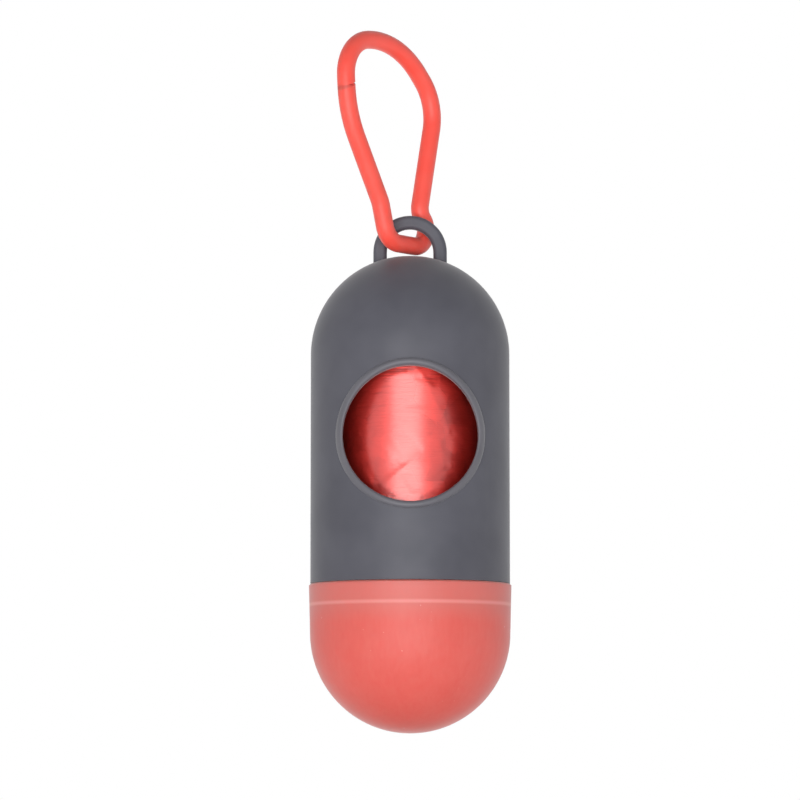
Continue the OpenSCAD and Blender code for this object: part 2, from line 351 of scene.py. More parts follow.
@dataclass(frozen=True)
class FrostedCapPolypropylene:
    """Translucent coral polypropylene, moulded and lightly frosted."""

    colour: str = "#e66258"
    pale_colour: str = "#f08f86"
    # The next two colours are painted light: the shoulder's paleness, and a painted highlight along the
    # line where the shoulder ends
    shoulder_painted_light_colour: str = "#d97c75"
    painted_highlight_colour: str = "#f6a49d"
    speck_colour: str = "#ffe6e2"
    line_z: float = 24.35
    line_half_width: float = 0.55
    shoulder_fade: float = 4.5
    cloud_mm: float = 6.0
    streak_mm: float = 0.9
    speck_mm: float = 0.7
    frost_mm: float = 0.3
    light_depth_mm: float = 1.6
    roughness: float = 0.5
    sheen: float = 0.28

    def make(self) -> bpy.types.Material:
        """Builds the material.

        Returns:
            A soft coral in which light spreads, with painted paleness over the thick shoulder and a
            painted highlight line where it ends, with specks.
        """
        material, tree = new_material("frosted_polypropylene_coral")
        place = add_node(tree, "ShaderNodeTexCoord").outputs["Object"]
        height = add_node(tree, "ShaderNodeSeparateXYZ", {0: place})
        # Painted light: the thick shoulder is drawn paler, as the light that passes through it looks, and
        # the painted paleness fades out a little under it
        painted_shoulder_light = add_node(
            tree,
            "ShaderNodeMapRange",
            {
                "Value": height.outputs[2],
                "From Min": (self.line_z - self.shoulder_fade) * MM,
                "From Max": (self.line_z + 0.4) * MM,
                "To Max": 0.6,
            },
            interpolation_type="SMOOTHSTEP",
        )
        # A painted highlight: a pale line where the shoulder ends inside the wall, where light catches
        # that edge
        above = add_node(
            tree,
            "ShaderNodeMath",
            {0: height.outputs[2], 1: self.line_z * MM},
            operation="SUBTRACT",
        )
        away = add_node(tree, "ShaderNodeMath", {0: above.outputs[0]}, operation="ABSOLUTE")
        line = add_node(
            tree,
            "ShaderNodeMapRange",
            {
                "Value": away.outputs[0],
                "From Min": 0.05 * MM,
                "From Max": self.line_half_width * MM,
                "To Min": 0.6,
                "To Max": 0.0,
            },
            interpolation_type="SMOOTHSTEP",
        )
        cloud = add_node(
            tree,
            "ShaderNodeTexNoise",
            {"Vector": place, "Scale": per_mm(self.cloud_mm), "Detail": 2.0},
        )
        # Faint upright streaks, where the plastic flowed into the mould
        drawn = add_node(tree, "ShaderNodeMapping", {"Vector": place, "Scale": (1.0, 1.0, 0.3)})
        streaks = add_node(
            tree,
            "ShaderNodeTexNoise",
            {"Vector": drawn.outputs[0], "Scale": per_mm(self.streak_mm), "Detail": 3.0, "Roughness": 0.6},
        )
        flow = add_node(
            tree,
            "ShaderNodeMath",
            {0: cloud.outputs[0], 1: streaks.outputs[0]},
            operation="ADD",
        )
        mottle = add_node(
            tree,
            "ShaderNodeMapRange",
            {"Value": flow.outputs[0], "From Min": 0.75, "From Max": 1.3, "To Max": 0.14},
        )
        base = add_node(
            tree,
            "ShaderNodeMix",
            {0: mottle.outputs[0], 6: linear(self.colour), 7: linear(self.pale_colour)},
            data_type="RGBA",
        )
        # Painted light: the shoulder's paleness is mixed in here
        with_painted_shoulder_light = add_node(
            tree,
            "ShaderNodeMix",
            {0: painted_shoulder_light.outputs[0], 6: base.outputs[2], 7: linear(self.shoulder_painted_light_colour)},
            data_type="RGBA",
        )
        # Painted highlight: the pale line is mixed in here
        with_painted_highlight = add_node(
            tree,
            "ShaderNodeMix",
            {0: line.outputs[0], 6: with_painted_shoulder_light.outputs[2], 7: linear(self.painted_highlight_colour)},
            data_type="RGBA",
        )
        # A few pale specks of dust in the plastic: the crests of a fine noise
        dust = add_node(
            tree,
            "ShaderNodeTexNoise",
            {"Vector": place, "Scale": per_mm(self.speck_mm), "Detail": 1.0},
        )
        specks = add_node(
            tree,
            "ShaderNodeMapRange",
            {"Value": dust.outputs[0], "From Min": 0.79, "From Max": 0.83, "To Max": 0.35},
        )
        shade = add_node(
            tree,
            "ShaderNodeMix",
            {0: specks.outputs[0], 6: with_painted_highlight.outputs[2], 7: linear(self.speck_colour)},
            data_type="RGBA",
        )
        # Frosting is finer than this in a real tool, so it is drawn coarser to show
        frost = add_node(
            tree,
            "ShaderNodeTexNoise",
            {"Vector": place, "Scale": per_mm(self.frost_mm), "Detail": 2.0},
        )
        relief = add_node(
            tree,
            "ShaderNodeBump",
            {"Height": frost.outputs[0], "Strength": 0.15, "Distance": 0.02 * MM},
        )
        shader = add_node(
            tree,
            "ShaderNodeBsdfPrincipled",
            {
                "Base Color": shade.outputs[2],
                "Roughness": self.roughness,
                "IOR": 1.49,
                "Normal": relief.outputs[0],
                "Subsurface Weight": 0.6,
                "Subsurface Radius": (1.0, 0.35, 0.3),
                "Subsurface Scale": self.light_depth_mm * MM,
                "Sheen Weight": self.sheen,
                "Sheen Roughness": 0.35,
            },
        )
        add_node(tree, "ShaderNodeOutputMaterial", {"Surface": shader.outputs[0]})
        return material


@dataclass(frozen=True)
class SatinHookAcetal:
    """Coral red acetal, moulded with a satin skin."""

    colour: str = "#ff5446"
    pale_colour: str = "#ff6d60"
    rub_colour: str = "#ffb3aa"
    sheen_colour: str = "#ffc0b8"
    cloud_mm: float = 5.0
    rub_mm: float = 0.8
    skin_mm: float = 0.35
    light_depth_mm: float = 1.2
    roughness: float = 0.42
    sheen: float = 0.3

    def make(self) -> bpy.types.Material:
        """Builds the material.

        Returns:
            A saturated coral with a broad soft sheen and a few pale rubs.
        """
        material, tree = new_material("moulded_acetal_coral")
        place = add_node(tree, "ShaderNodeTexCoord").outputs["Object"]
        cloud = add_node(
            tree,
            "ShaderNodeTexNoise",
            {"Vector": place, "Scale": per_mm(self.cloud_mm), "Detail": 2.0},
        )
        mottle = add_node(
            tree,
            "ShaderNodeMapRange",
            {"Value": cloud.outputs[0], "From Min": 0.3, "From Max": 0.7, "To Max": 0.25},
        )
        base = add_node(
            tree,
            "ShaderNodeMix",
            {0: mottle.outputs[0], 6: linear(self.colour), 7: linear(self.pale_colour)},
            data_type="RGBA",
        )
        # Pale rubs from the rings and straps that slide on the hook
        rub = add_node(
            tree,
            "ShaderNodeTexNoise",
            {"Vector": place, "Scale": per_mm(self.rub_mm), "Detail": 3.0, "Roughness": 0.7},
        )
        rubs = add_node(
            tree,
            "ShaderNodeMapRange",
            {"Value": rub.outputs[0], "From Min": 0.76, "From Max": 0.82, "To Max": 0.5},
        )
        shade = add_node(
            tree,
            "ShaderNodeMix",
            {0: rubs.outputs[0], 6: base.outputs[2], 7: linear(self.rub_colour)},
            data_type="RGBA",
        )
        skin = add_node(
            tree,
            "ShaderNodeTexNoise",
            {"Vector": place, "Scale": per_mm(self.skin_mm), "Detail": 2.0},
        )
        dull = add_node(
            tree,
            "ShaderNodeMapRange",
            {"Value": skin.outputs[0], "To Min": self.roughness - 0.05, "To Max": self.roughness + 0.08},
        )
        relief = add_node(
            tree,
            "ShaderNodeBump",
            {"Height": skin.outputs[0], "Strength": 0.12, "Distance": 0.02 * MM},
        )
        shader = add_node(
            tree,
            "ShaderNodeBsdfPrincipled",
            {
                "Base Color": shade.outputs[2],
                "Roughness": dull.outputs[0],
                "IOR": 1.48,
                "Normal": relief.outputs[0],
                "Sheen Weight": self.sheen,
                "Sheen Roughness": 0.4,
                "Sheen Tint": linear(self.sheen_colour),
                "Subsurface Weight": 0.4,
                "Subsurface Radius": (1.0, 0.25, 0.2),
                "Subsurface Scale": self.light_depth_mm * MM,
            },
        )
        add_node(tree, "ShaderNodeOutputMaterial", {"Surface": shader.outputs[0]})
        return material


@dataclass(frozen=True)
class BagFilm:
    """Thin red polyethylene film, blown and folded."""

    colour: str = "#dd3228"
    deep_colour: str = "#c4231a"
    roughness: float = 0.46
    skin_roughness: float = 0.29
    wrinkle_mm: float = 0.6
    wrinkle_depth_mm: float = 0.13
    layer_mm: float = 3.5
    facet_mm: float = 4.5
    facet_tilt: float = 0.13

    def make(self) -> bpy.types.Material:
        """Builds the material.

        Returns:
            A deep red with a soft sheen, finely wrinkled.
        """
        material, tree = new_material("polyethylene_film_red")
        place = add_node(tree, "ShaderNodeTexCoord").outputs["Object"]
        # Fine wrinkles that run round the roll, from winding
        drawn = add_node(tree, "ShaderNodeMapping", {"Vector": place, "Scale": (0.12, 0.12, 1.0)})
        wrinkle = add_node(
            tree,
            "ShaderNodeTexNoise",
            {
                "Vector": drawn.outputs[0],
                "Scale": per_mm(self.wrinkle_mm),
                "Detail": 3.0,
                "Roughness": 0.6,
                "Distortion": 0.3,
            },
        )
        # Where more layers lie close together the red is deeper
        layers = add_node(
            tree,
            "ShaderNodeTexNoise",
            {"Vector": place, "Scale": per_mm(self.layer_mm), "Detail": 2.0},
        )
        depth = add_node(
            tree,
            "ShaderNodeMapRange",
            {"Value": layers.outputs[0], "From Min": 0.35, "From Max": 0.65, "To Max": 0.5},
        )
        base = add_node(
            tree,
            "ShaderNodeMix",
            {0: depth.outputs[0], 6: linear(self.colour), 7: linear(self.deep_colour)},
            data_type="RGBA",
        )
        # Flat facets with sharp creases between them, as in film that has been crumpled
        cells = add_node(
            tree,
            "ShaderNodeTexVoronoi",
            {"Vector": place, "Scale": per_mm(self.facet_mm), "Randomness": 1.0},
        )
        within = add_node(
            tree,
            "ShaderNodeVectorMath",
            {0: place, 1: cells.outputs["Position"]},
            operation="SUBTRACT",
        )
        tilt = add_node(
            tree,
            "ShaderNodeVectorMath",
            {0: cells.outputs["Color"], 1: (0.5, 0.5, 0.5)},
            operation="SUBTRACT",
        )
        facet = add_node(
            tree,
            "ShaderNodeVectorMath",
            {0: within.outputs[0], 1: tilt.outputs[0]},
            operation="DOT_PRODUCT",
        )
        creased = add_node(
            tree,
            "ShaderNodeBump",
            {"Height": facet.outputs["Value"], "Strength": 1.0, "Distance": self.facet_tilt},
        )
        relief = add_node(
            tree,
            "ShaderNodeBump",
            {
                "Height": wrinkle.outputs[0],
                "Strength": 1.0,
                "Distance": self.wrinkle_depth_mm * MM,
                "Normal": creased.outputs[0],
            },
        )
        # Light is thrown back red by the layers under the skin, and white by the skin itself
        shader = add_node(
            tree,
            "ShaderNodeBsdfPrincipled",
            {
                "Base Color": base.outputs[2],
                "Metallic": 0.75,
                "Roughness": self.roughness,
                "IOR": 1.51,
                "Coat Weight": 0.95,
                "Coat Roughness": self.skin_roughness,
                "Coat IOR": 1.82,
                "Normal": relief.outputs[0],
            },
        )
        add_node(tree, "ShaderNodeOutputMaterial", {"Surface": shader.outputs[0]})
        return material


@dataclass(frozen=True)
class SpiralKraftBoard:
    """Brown kraft board, wound in a spiral into a tube."""

    colour: str = "#b8905f"
    fibre_colour: str = "#8d6a41"
    joint_colour: str = "#6d5030"
    fibre_mm: float = 0.25
    ply_mm: float = 18.0

    def make(self) -> bpy.types.Material:
        """Builds the material.

        Returns:
            A rough brown with fibres and the slanting joints of its plies.
        """
        material, tree = new_material("kraft_board_spiral_wound")
        place = add_node(tree, "ShaderNodeTexCoord").outputs["Object"]
        # Real fibres are a tenth as wide, too fine to show, so they are drawn coarser
        fibre = add_node(
            tree,
            "ShaderNodeTexNoise",
            {"Vector": place, "Scale": per_mm(self.fibre_mm), "Detail": 4.0, "Roughness": 0.7},
        )
        slant = add_node(
            tree,
            "ShaderNodeMapping",
            {"Vector": place, "Rotation": (0.0, 0.75, 0.0)},
        )
        plies = add_node(
            tree,
            "ShaderNodeTexWave",
            # The wave turns 20 radians for each unit of its scale
            {
                "Vector": slant.outputs[0],
                "Scale": per_mm(self.ply_mm) * math.tau / 20,
                "Distortion": 0.4,
            },
            bands_direction="Z",
        )
        joint = add_node(
            tree,
            "ShaderNodeMapRange",
            {"Value": plies.outputs[1], "From Max": 0.06, "To Min": 0.6, "To Max": 0.0},
        )
        base = add_node(
            tree,
            "ShaderNodeMix",
            {0: fibre.outputs[0], 6: linear(self.colour), 7: linear(self.fibre_colour)},
            data_type="RGBA",
        )
        shade = add_node(
            tree,
            "ShaderNodeMix",
            {0: joint.outputs[0], 6: base.outputs[2], 7: linear(self.joint_colour)},
            data_type="RGBA",
        )
        relief = add_node(
            tree,
            "ShaderNodeBump",
            {"Height": fibre.outputs[0], "Strength": 0.4, "Distance": 0.04 * MM},
        )
        shader = add_node(
            tree,
            "ShaderNodeBsdfPrincipled",
            {"Base Color": shade.outputs[2], "Roughness": 0.85, "IOR": 1.5, "Normal": relief.outputs[0]},
        )
        add_node(tree, "ShaderNodeOutputMaterial", {"Surface": shader.outputs[0]})
        return material


@dataclass(frozen=True)
class StudioPaper:
    """White background paper, seen by the camera as plain white towards its edge."""

    colour: str = "#f4f4f4"
    grain_colour: str = "#efefef"
    grain_mm: float = 1.5
    fade_from: float = 0.12
    fade_to: float = 0.7

    def make(self) -> bpy.types.Material:
        """Builds the material.

        Returns:
            A matt white that keeps shadows near the object and fades to the background.
        """
        material, tree = new_material("background_paper_white")
        place = add_node(tree, "ShaderNodeTexCoord").outputs["Object"]
        flat = add_node(tree, "ShaderNodeMapping", {"Vector": place, "Scale": (1.0, 1.0, 0.0)})
        reach = add_node(tree, "ShaderNodeVectorMath", {0: flat.outputs[0]}, operation="LENGTH")
        fade = add_node(
            tree,
            "ShaderNodeMapRange",
            {"Value": reach.outputs["Value"], "From Min": self.fade_from, "From Max": self.fade_to},
            interpolation_type="SMOOTHSTEP",
        )
        grain = add_node(
            tree,
            "ShaderNodeTexNoise",
            {"Vector": place, "Scale": per_mm(self.grain_mm), "Detail": 2.0},
        )
        tone = add_node(
            tree,
            "ShaderNodeMix",
            {0: grain.outputs[0], 6: linear(self.colour), 7: linear(self.grain_colour)},
            data_type="RGBA",
        )
        paper = add_node(tree, "ShaderNodeBsdfDiffuse", {"Color": tone.outputs[2]})
        glow = add_node(tree, "ShaderNodeEmission", {"Color": (1.0, 1.0, 1.0, 1.0), "Strength": 1.0})
        surface = add_node(
            tree,
            "ShaderNodeMixShader",
            {0: fade.outputs[0], 1: paper.outputs[0], 2: glow.outputs[0]},
        )
        add_node(tree, "ShaderNodeOutputMaterial", {"Surface": surface.outputs[0]})
        return material


@dataclass
class Studio:
    """The camera, the soft lights, the white surround and the floor far under the object."""

    target: tuple[float, float, float] = (-1.939 * MM, 0.0, 63.499 * MM)
    distance: float = 0.70
    elevation_deg: float = -5.465
    frame_width: float = 152.97 * MM
    sensor_mm: float = 36.0
    floor_z: float = -0.3
    floor_radius: float = 2.0
    light_distance: float = 0.9
    front_power: float = 8.6
    front_turn_deg: float = -5.0
    front_rise_deg: float = -15.0
    front_size: tuple[float, float] = (0.74, 0.9)
    light_below: float = 0.74
    light_above: float = 0.0

    def camera(self) -> None:
        """Sets up the camera from the photograph's side, slightly from below."""
        eye = bpy.data.cameras.new("camera")
        eye.sensor_width = self.sensor_mm
        eye.lens = self.sensor_mm * self.distance / self.frame_width
        eye.clip_start, eye.clip_end = 0.01, 20.0
        rig = bpy.data.objects.new("camera", eye)
        bpy.context.scene.collection.objects.link(rig)
        rise = math.radians(self.elevation_deg)
        back = Vector((0.0, -math.cos(rise), math.sin(rise)))
        rig.location = Vector(self.target) + back * self.distance
        rig.rotation_euler = (-back).to_track_quat("-Z", "Y").to_euler()
        bpy.context.scene.camera = rig

    def softbox(self) -> None:
        """Hangs one large soft light by the camera, facing the object."""
        lamp = bpy.data.lights.new("softbox_front", "AREA")
        lamp.shape, lamp.energy = "RECTANGLE", self.front_power
        lamp.size, lamp.size_y = self.front_size
        rig = bpy.data.objects.new("softbox_front", lamp)
        bpy.context.scene.collection.objects.link(rig)
        turn, rise = math.radians(self.front_turn_deg), math.radians(self.front_rise_deg)
        way = Vector((math.sin(turn) * math.cos(rise), -math.cos(turn) * math.cos(rise), math.sin(rise)))
        rig.location = Vector(self.target) + way * self.light_distance
        rig.rotation_euler = (-way).to_track_quat("-Z", "Y").to_euler()
        rig.visible_camera = False

    def surround(self) -> None:
        """Makes the world white to the eye and in gloss, and a soft gradient as light."""
        world = bpy.data.worlds.new("white_surround")
        world.use_nodes = True
        tree = world.node_tree
        tree.nodes.clear()
        way = add_node(tree, "ShaderNodeTexCoord").outputs["Generated"]
        split = add_node(tree, "ShaderNodeSeparateXYZ", {0: way})
        level = add_node(
            tree,
            "ShaderNodeMapRange",
            {
                "Value": split.outputs[2],
                "From Min": -0.2,
                "From Max": 0.65,
                "To Min": self.light_below,
                "To Max": self.light_above,
            },
            interpolation_type="SMOOTHSTEP",
        )
        path = add_node(tree, "ShaderNodeLightPath")
        seen = add_node(
            tree,
            "ShaderNodeMath",
            {0: path.outputs["Is Camera Ray"], 1: path.outputs["Is Glossy Ray"]},
            operation="MAXIMUM",
        )
        shown = add_node(
            tree,
            "ShaderNodeMath",
            {0: seen.outputs[0], 1: path.outputs["Is Transmission Ray"]},
            operation="MAXIMUM",
        )
        strength = add_node(
            tree, "ShaderNodeMix", {0: shown.outputs[0], 2: level.outputs[0], 3: 1.0}, data_type="FLOAT"
        )
        back = add_node(
            tree,
            "ShaderNodeBackground",
            {"Color": (1.0, 1.0, 1.0, 1.0), "Strength": strength.outputs[0]},
        )
        add_node(tree, "ShaderNodeOutputWorld", {"Surface": back.outputs[0]})
        bpy.context.scene.world = world

    def floor(self) -> None:
        """Lays a round sheet of white paper well under the hanging object."""
        pick_up()
        bpy.ops.mesh.primitive_circle_add(
            vertices=96, radius=self.floor_radius, fill_type="NGON", location=(0.0, 0.0, self.floor_z)
        )
        sheet = bpy.context.object
        sheet.name = "studio_floor"
        settle(sheet)
        sheet.data.materials.append(StudioPaper().make())

    def build(self) -> None:
        """Builds the whole studio and sets how the picture shows colour."""
        bpy.context.scene.view_settings.view_transform = "Standard"
        self.camera()
        self.softbox()
        self.surround()
        self.floor()
        log.info("studio: camera, softbox, white surround and floor")


class BarDrawer:
    """Draws a round bar by extruding and spinning the ring at its end."""

    def __init__(self, name: str, start: Vector, heading: Vector, radius: float, sides: int = 48) -> None:
        """Starts the bar with a ring.

        Args:
            name: the piece's name.
            start: the middle of the first ring.
            heading: the way that the bar leaves it.
            radius: half of the bar's thickness.
            sides: corners round the bar.
        """
        self.radius = radius
        self.end = start.copy()
        self.heading = heading.normalized()
        pick_up()
        bpy.ops.mesh.primitive_circle_add(
            vertices=sides,
            radius=radius,
            location=start,
            rotation=self.heading.to_track_quat("Z", "Y").to_euler(),
        )
        self.piece = bpy.context.object
        self.piece.name = self.piece.data.name = name
        settle(self.piece)
        bpy.ops.object.mode_set(mode="EDIT")
        bpy.ops.mesh.select_all(action="SELECT")

    def straight(self, to: Vector, steps: int = 1) -> None:
        """Extrudes the end ring to a point straight ahead.

        Args:
            to: the middle of the new end.
            steps: the number of equal lengths on the way.
        """
        step = (to - self.end) / steps
        for _ in range(steps):
            bpy.ops.mesh.extrude_region_move(TRANSFORM_OT_translate={"value": step})
        self.end = to.copy()

    def bend(self, centre: Vector, axis: Vector, angle: float, steps: int) -> None:
        """Spins the end ring about a centre.

        Args:
            centre: the middle of the bend.
            axis: the axis of the turn.
            angle: the turn in radians, positive round the axis.
            steps: the number of lengths on the way.
        """
        # The operator counts its angle the other way round the axis
        bpy.ops.mesh.spin(steps=steps, angle=-angle, center=centre, axis=axis)
        turn = Matrix.Rotation(angle, 3, axis)
        self.end = centre + turn @ (self.end - centre)
        self.heading = turn @ self.heading

    def slant(self, normal: Vector) -> None:
        """Slides the end ring's corners along the bar until they lie on a slanting plane.

        Args:
            normal: the normal of that plane, which passes through the ring's middle.
        """
        mesh = bmesh.from_edit_mesh(self.piece.data)
        for corner in mesh.verts:
            if corner.select:
                corner.co -= self.heading * ((corner.co - self.end).dot(normal) / self.heading.dot(normal))
        bmesh.update_edit_mesh(self.piece.data)

    def round_off(self, rounding: float, steps: int = 4) -> None:
        """Rounds the rim of the end and closes it.

        Args:
            rounding: the radius of the rounding.
            steps: the number of rings over the rounding.
        """
        before, size = 0.0, self.radius
        for i in range(1, steps + 1):
            angle = math.radians(90 * i / steps)
            ahead, new_size = rounding * math.sin(angle), self.radius - rounding * (1 - math.cos(angle))
            step = self.heading * (ahead - before)
            bpy.ops.mesh.extrude_region_move(TRANSFORM_OT_translate={"value": step})
            self.end += step
            factor = new_size / size
            bpy.ops.transform.resize(value=(factor, factor, factor), center_override=self.end)
            before, size = ahead, new_size
        self.close()

    def close(self) -> None:
        """Fills the end ring."""
        bpy.ops.mesh.edge_face_add()

    def finish(self) -> bpy.types.Object:
        """Closes any open ring, turns the faces outwards and shades the bar smooth.

        Returns:
            The finished bar.
        """
        bpy.ops.mesh.select_all(action="DESELECT")
        bpy.ops.mesh.select_mode(type="EDGE")
        bpy.ops.mesh.select_non_manifold(extend=False)
        bpy.ops.mesh.edge_face_add()
        bpy.ops.mesh.select_mode(type="VERT")
        point_outwards(self.piece)
        smooth(self.piece)
        return self.piece


@dataclass(frozen=True)
class Corner:
    """A corner of the hook's middle line, in the hook's plane, in millimetres."""

    across: float
    up: float
    radius: float = 0.0


@dataclass
class SnapHook:
    """The coral hook: one moulding whose front arm flexes at the kink and closes on the nose.

    Its lengths are in millimetres. Places across and up are in the hook's own plane, which is
    turned about the upright and starts at the lowest point of the bar's middle line.
    """

    thickness: float = 3.45
    turn_deg: float = 49.0
    shift: float = -0.2
    foot_z: float = 93.235
    kink: Corner = Corner(-8.341, 7.515, 4.6)
    gate_bend: Corner = Corner(-17.7, 23.5, 21.6)
    arm_corners: tuple[Corner, ...] = (
        Corner(-6.241, 0.15, 4.1),
        Corner(8.941, -0.02, 3.3),
        Corner(2.941, 6.865, 2.9),
        Corner(7.8, 28.7, 9.9),
        Corner(-3.3, 39.7, 16.9),
        Corner(-18.7, 37.3, 7.4),
    )
    gate_length: float = 23.335
    split_gap: float = 0.12
    split_slant_deg: float = 24.5
    tip_rounding: float = 0.34
    nose_rounding: float = 0.12
    flex_reach: float = 3.0
    flex_inset: float = 0.12
    flex_steps: int = 6
    bend_step_deg: float = 3.5
    finish: SatinHookAcetal = field(default_factory=SatinHookAcetal)

    def place(self, across: float, up: float) -> Vector:
        """Gives the place in the frame of a point in the hook's plane.

        Args:
            across: its distance across the hook, in millimetres.
            up: its height over the lowest point of the middle line.

        Returns:
            The point, in metres.
        """
        turn = math.radians(self.turn_deg)
        return Vector(
            (self.shift + across * math.cos(turn), across * math.sin(turn), self.foot_z + up)
        ) * MM

    def of(self, corner: Corner) -> Vector:
        """Gives a corner's place in the frame."""
        return self.place(corner.across, corner.up)

    def facing(self) -> Vector:
        """Gives the normal of the hook's plane, on the camera's side."""
        turn = math.radians(self.turn_deg)
        return Vector((math.sin(turn), -math.cos(turn), 0.0))

    def round_corner(self, bar: BarDrawer, corner: Corner, after: Vector) -> None:
        """Takes a bar straight up to a corner and round it.

        Args:
            bar: the bar, on its way to the corner.
            corner: the corner, with its radius.
            after: the next corner's place.
        """
        here, radius = self.of(corner), corner.radius * MM
        back, ahead = (bar.end - here).normalized(), (after - here).normalized()
        half = back.angle(ahead) / 2
        run = radius / math.tan(half)
        bar.straight(here + back * run)
        centre = here + (back + ahead).normalized() * (radius / math.sin(half))
        axis = back.cross(ahead).normalized()
        angle = math.pi - 2 * half
        bar.bend(centre, -axis, angle, max(3, round(math.degrees(angle) / self.bend_step_deg)))

    def split_normal(self) -> Vector:
        """Gives the normal of the slanting cut between the gate's tip and the nose.

        Returns:
            A unit vector in the hook's plane, up towards the nose.
        """
        slant = math.radians(self.split_slant_deg)
        return (
            self.place(-math.sin(slant), math.cos(slant)) - self.place(0.0, 0.0)
        ).normalized()

    def split_point(self, reach: float) -> Vector:
        """Finds the point on the upper straight at a distance from the kink.

        Args:
            reach: the distance in millimetres.

        Returns:
            The point on the middle line.
        """
        low, high = self.of(self.gate_bend), self.of(self.arm_corners[-1])
        kink = self.of(self.kink)
        way, start = (high - low).normalized(), low - kink
        along = start.dot(way)
        return low + way * (-along + math.sqrt(along**2 - start.length_squared + (reach * MM) ** 2))

    def flex_ends(self) -> tuple[Vector, Vector]:
        """Finds the two ends of the flexing length.

        Returns:
            The points on the middle line below and above the kink.
        """
        kink = self.of(self.kink)
        below = (self.of(self.arm_corners[0]) - kink).normalized()
        above = (self.of(self.gate_bend) - kink).normalized()
        return kink + below * self.flex_reach * MM, kink + above * self.flex_reach * MM

    def hook_arm(self) -> bpy.types.Object:
        """Draws the stiff length, from under the kink round the foot and the crown to the nose.

        Returns:
            The piece.
        """
        start, _ = self.flex_ends()
        down = (self.of(self.arm_corners[0]) - start).normalized()
        bar = BarDrawer("hook_arm", start, down, self.thickness / 2 * MM)
        places = [self.of(c) for c in self.arm_corners] + [self.of(self.gate_bend)]
        for i, corner in enumerate(self.arm_corners):
            self.round_corner(bar, corner, places[i + 1])
        nose = self.split_point(self.gate_length + self.split_gap)
        rounding = self.nose_rounding * MM
        bar.straight(nose - bar.heading * rounding)
        bar.slant(self.split_normal())
        bar.round_off(rounding)
        return bar.finish()

    def gate_arm(self) -> bpy.types.Object:
        """Draws the gate, from over the kink to its tip under the nose.

        Returns:
            The piece.
        """
        _, start = self.flex_ends()
        bar = BarDrawer(
            "hook_gate_arm", start, self.of(self.gate_bend) - start, self.thickness / 2 * MM
        )
        self.round_corner(bar, self.gate_bend, self.of(self.arm_corners[-1]))
        tip = self.split_point(self.gate_length)
        rounding = self.tip_rounding * MM
        bar.straight(tip - bar.heading * rounding)
        bar.slant(self.split_normal())
        bar.round_off(rounding)
        return bar.finish()

    def flexing_kink(self) -> bpy.types.Object:
        """Draws the short length between the two, which bends as the gate is pushed in.

        Returns:
            The piece.
        """
        below, above = self.flex_ends()
        kink = self.of(self.kink)
        bar = BarDrawer("hook_flexing_kink", below, kink - below, self.thickness / 2 * MM)
        # Short lengths on both sides of the bend let the piece bend smoothly
        run = self.kink.radius * math.tan((above - kink).angle(kink - below) / 2) * MM
        bar.straight(kink - bar.heading * (run + 0.1 * MM), self.flex_steps)
        self.round_corner(bar, self.kink, above)
        bar.straight(above, self.flex_steps)
        return bar.finish()

    def build(self) -> None:
        """Builds the hook's three lengths and dresses them."""
        coral = self.finish.make()
        dress(self.hook_arm(), coral, Body.HOOK, ["hook_frame"])
        dress(self.gate_arm(), coral, Body.GATE, ["hook_gate"])
        kink = self.flexing_kink()
        kink.data.materials.append(coral)
        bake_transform(kink)
        log.info("%s: bends between hook and gate", kink.name)


@dataclass
class CapsuleShell:
    """The grey capsule with its eyelet and the rounded bead round its window, in millimetres."""

    body_radius: float = 19.0
    bead_radius: float = 13.35
    bead_half_width: float = 0.69
    bead_height: float = 0.6
    bead_root: float = 0.7
    bead_lift: float = 0.13
    finish: MouldedShellPolypropylene = field(default_factory=MouldedShellPolypropylene)
    # The bead is drawn paler and smoother than the wall
    bead_finish: MouldedShellPolypropylene = field(
        default_factory=lambda: MouldedShellPolypropylene(
            name="moulded_polypropylene_grey_bead", colour="#5f5e65", cloud="#6d6b72", roughness=0.46
        )
    )

    def window_bead(self) -> bpy.types.Object:
        """Lays a flat-rounded ring on the wall round the window.

        Returns:
            The piece.
        """
        pick_up()
        bpy.ops.mesh.primitive_torus_add(
            major_radius=self.bead_radius * MM,
            minor_radius=1.0 * MM,
            major_segments=192,
            minor_segments=28,
            location=(0.0, 0.0, WINDOW_Z * MM),
            rotation=(math.pi / 2, 0.0, 0.0),
        )
        bead = bpy.context.object
        bead.name = bead.data.name = "window_bead"
        settle(bead)
        reshape(bead, self.on_the_wall)
        point_outwards(bead)
        smooth(bead, 60.0)
        return bead

    def on_the_wall(self, spot: Vector) -> Vector:
        """Moves a vertex of the plain torus onto the bead's section, laid on the curved wall.

        Args:
            spot: its place on a torus whose tube has a radius of one millimetre.

        Returns:
            Its new place.
        """
        x, y, z = spot / MM
        up = z - WINDOW_Z
        out = math.hypot(x, up)
        across, proud = out - self.bead_radius, -y
        angle = math.atan2(proud, across)
        # Rather more than half of an ellipse stands proud, so that its foot lies in shade
        across = math.cos(angle) * self.bead_half_width
        proud = self.bead_lift + math.sin(angle) * (self.bead_height if proud > 0 else self.bead_root)
        new_out = self.bead_radius + across
        x, up = x / out * new_out, up / out * new_out
        wall = math.sqrt((self.body_radius + proud) ** 2 - x**2)
        return Vector((x, -wall, WINDOW_Z + up)) * MM

    def build(self) -> None:
        """Dresses the shell's node and adds the bead."""
        dress_node("body_shell", self.finish.make())
        dress(self.window_bead(), self.bead_finish.make(), Body.SHELL)


@dataclass
class ScrewCap:
    """The translucent coral cap that screws into the capsule's foot."""

    finish: FrostedCapPolypropylene = field(default_factory=FrostedCapPolypropylene)

    def build(self) -> None:
        """Dresses the cap's node."""
        dress_node("end_cap", self.finish.make())


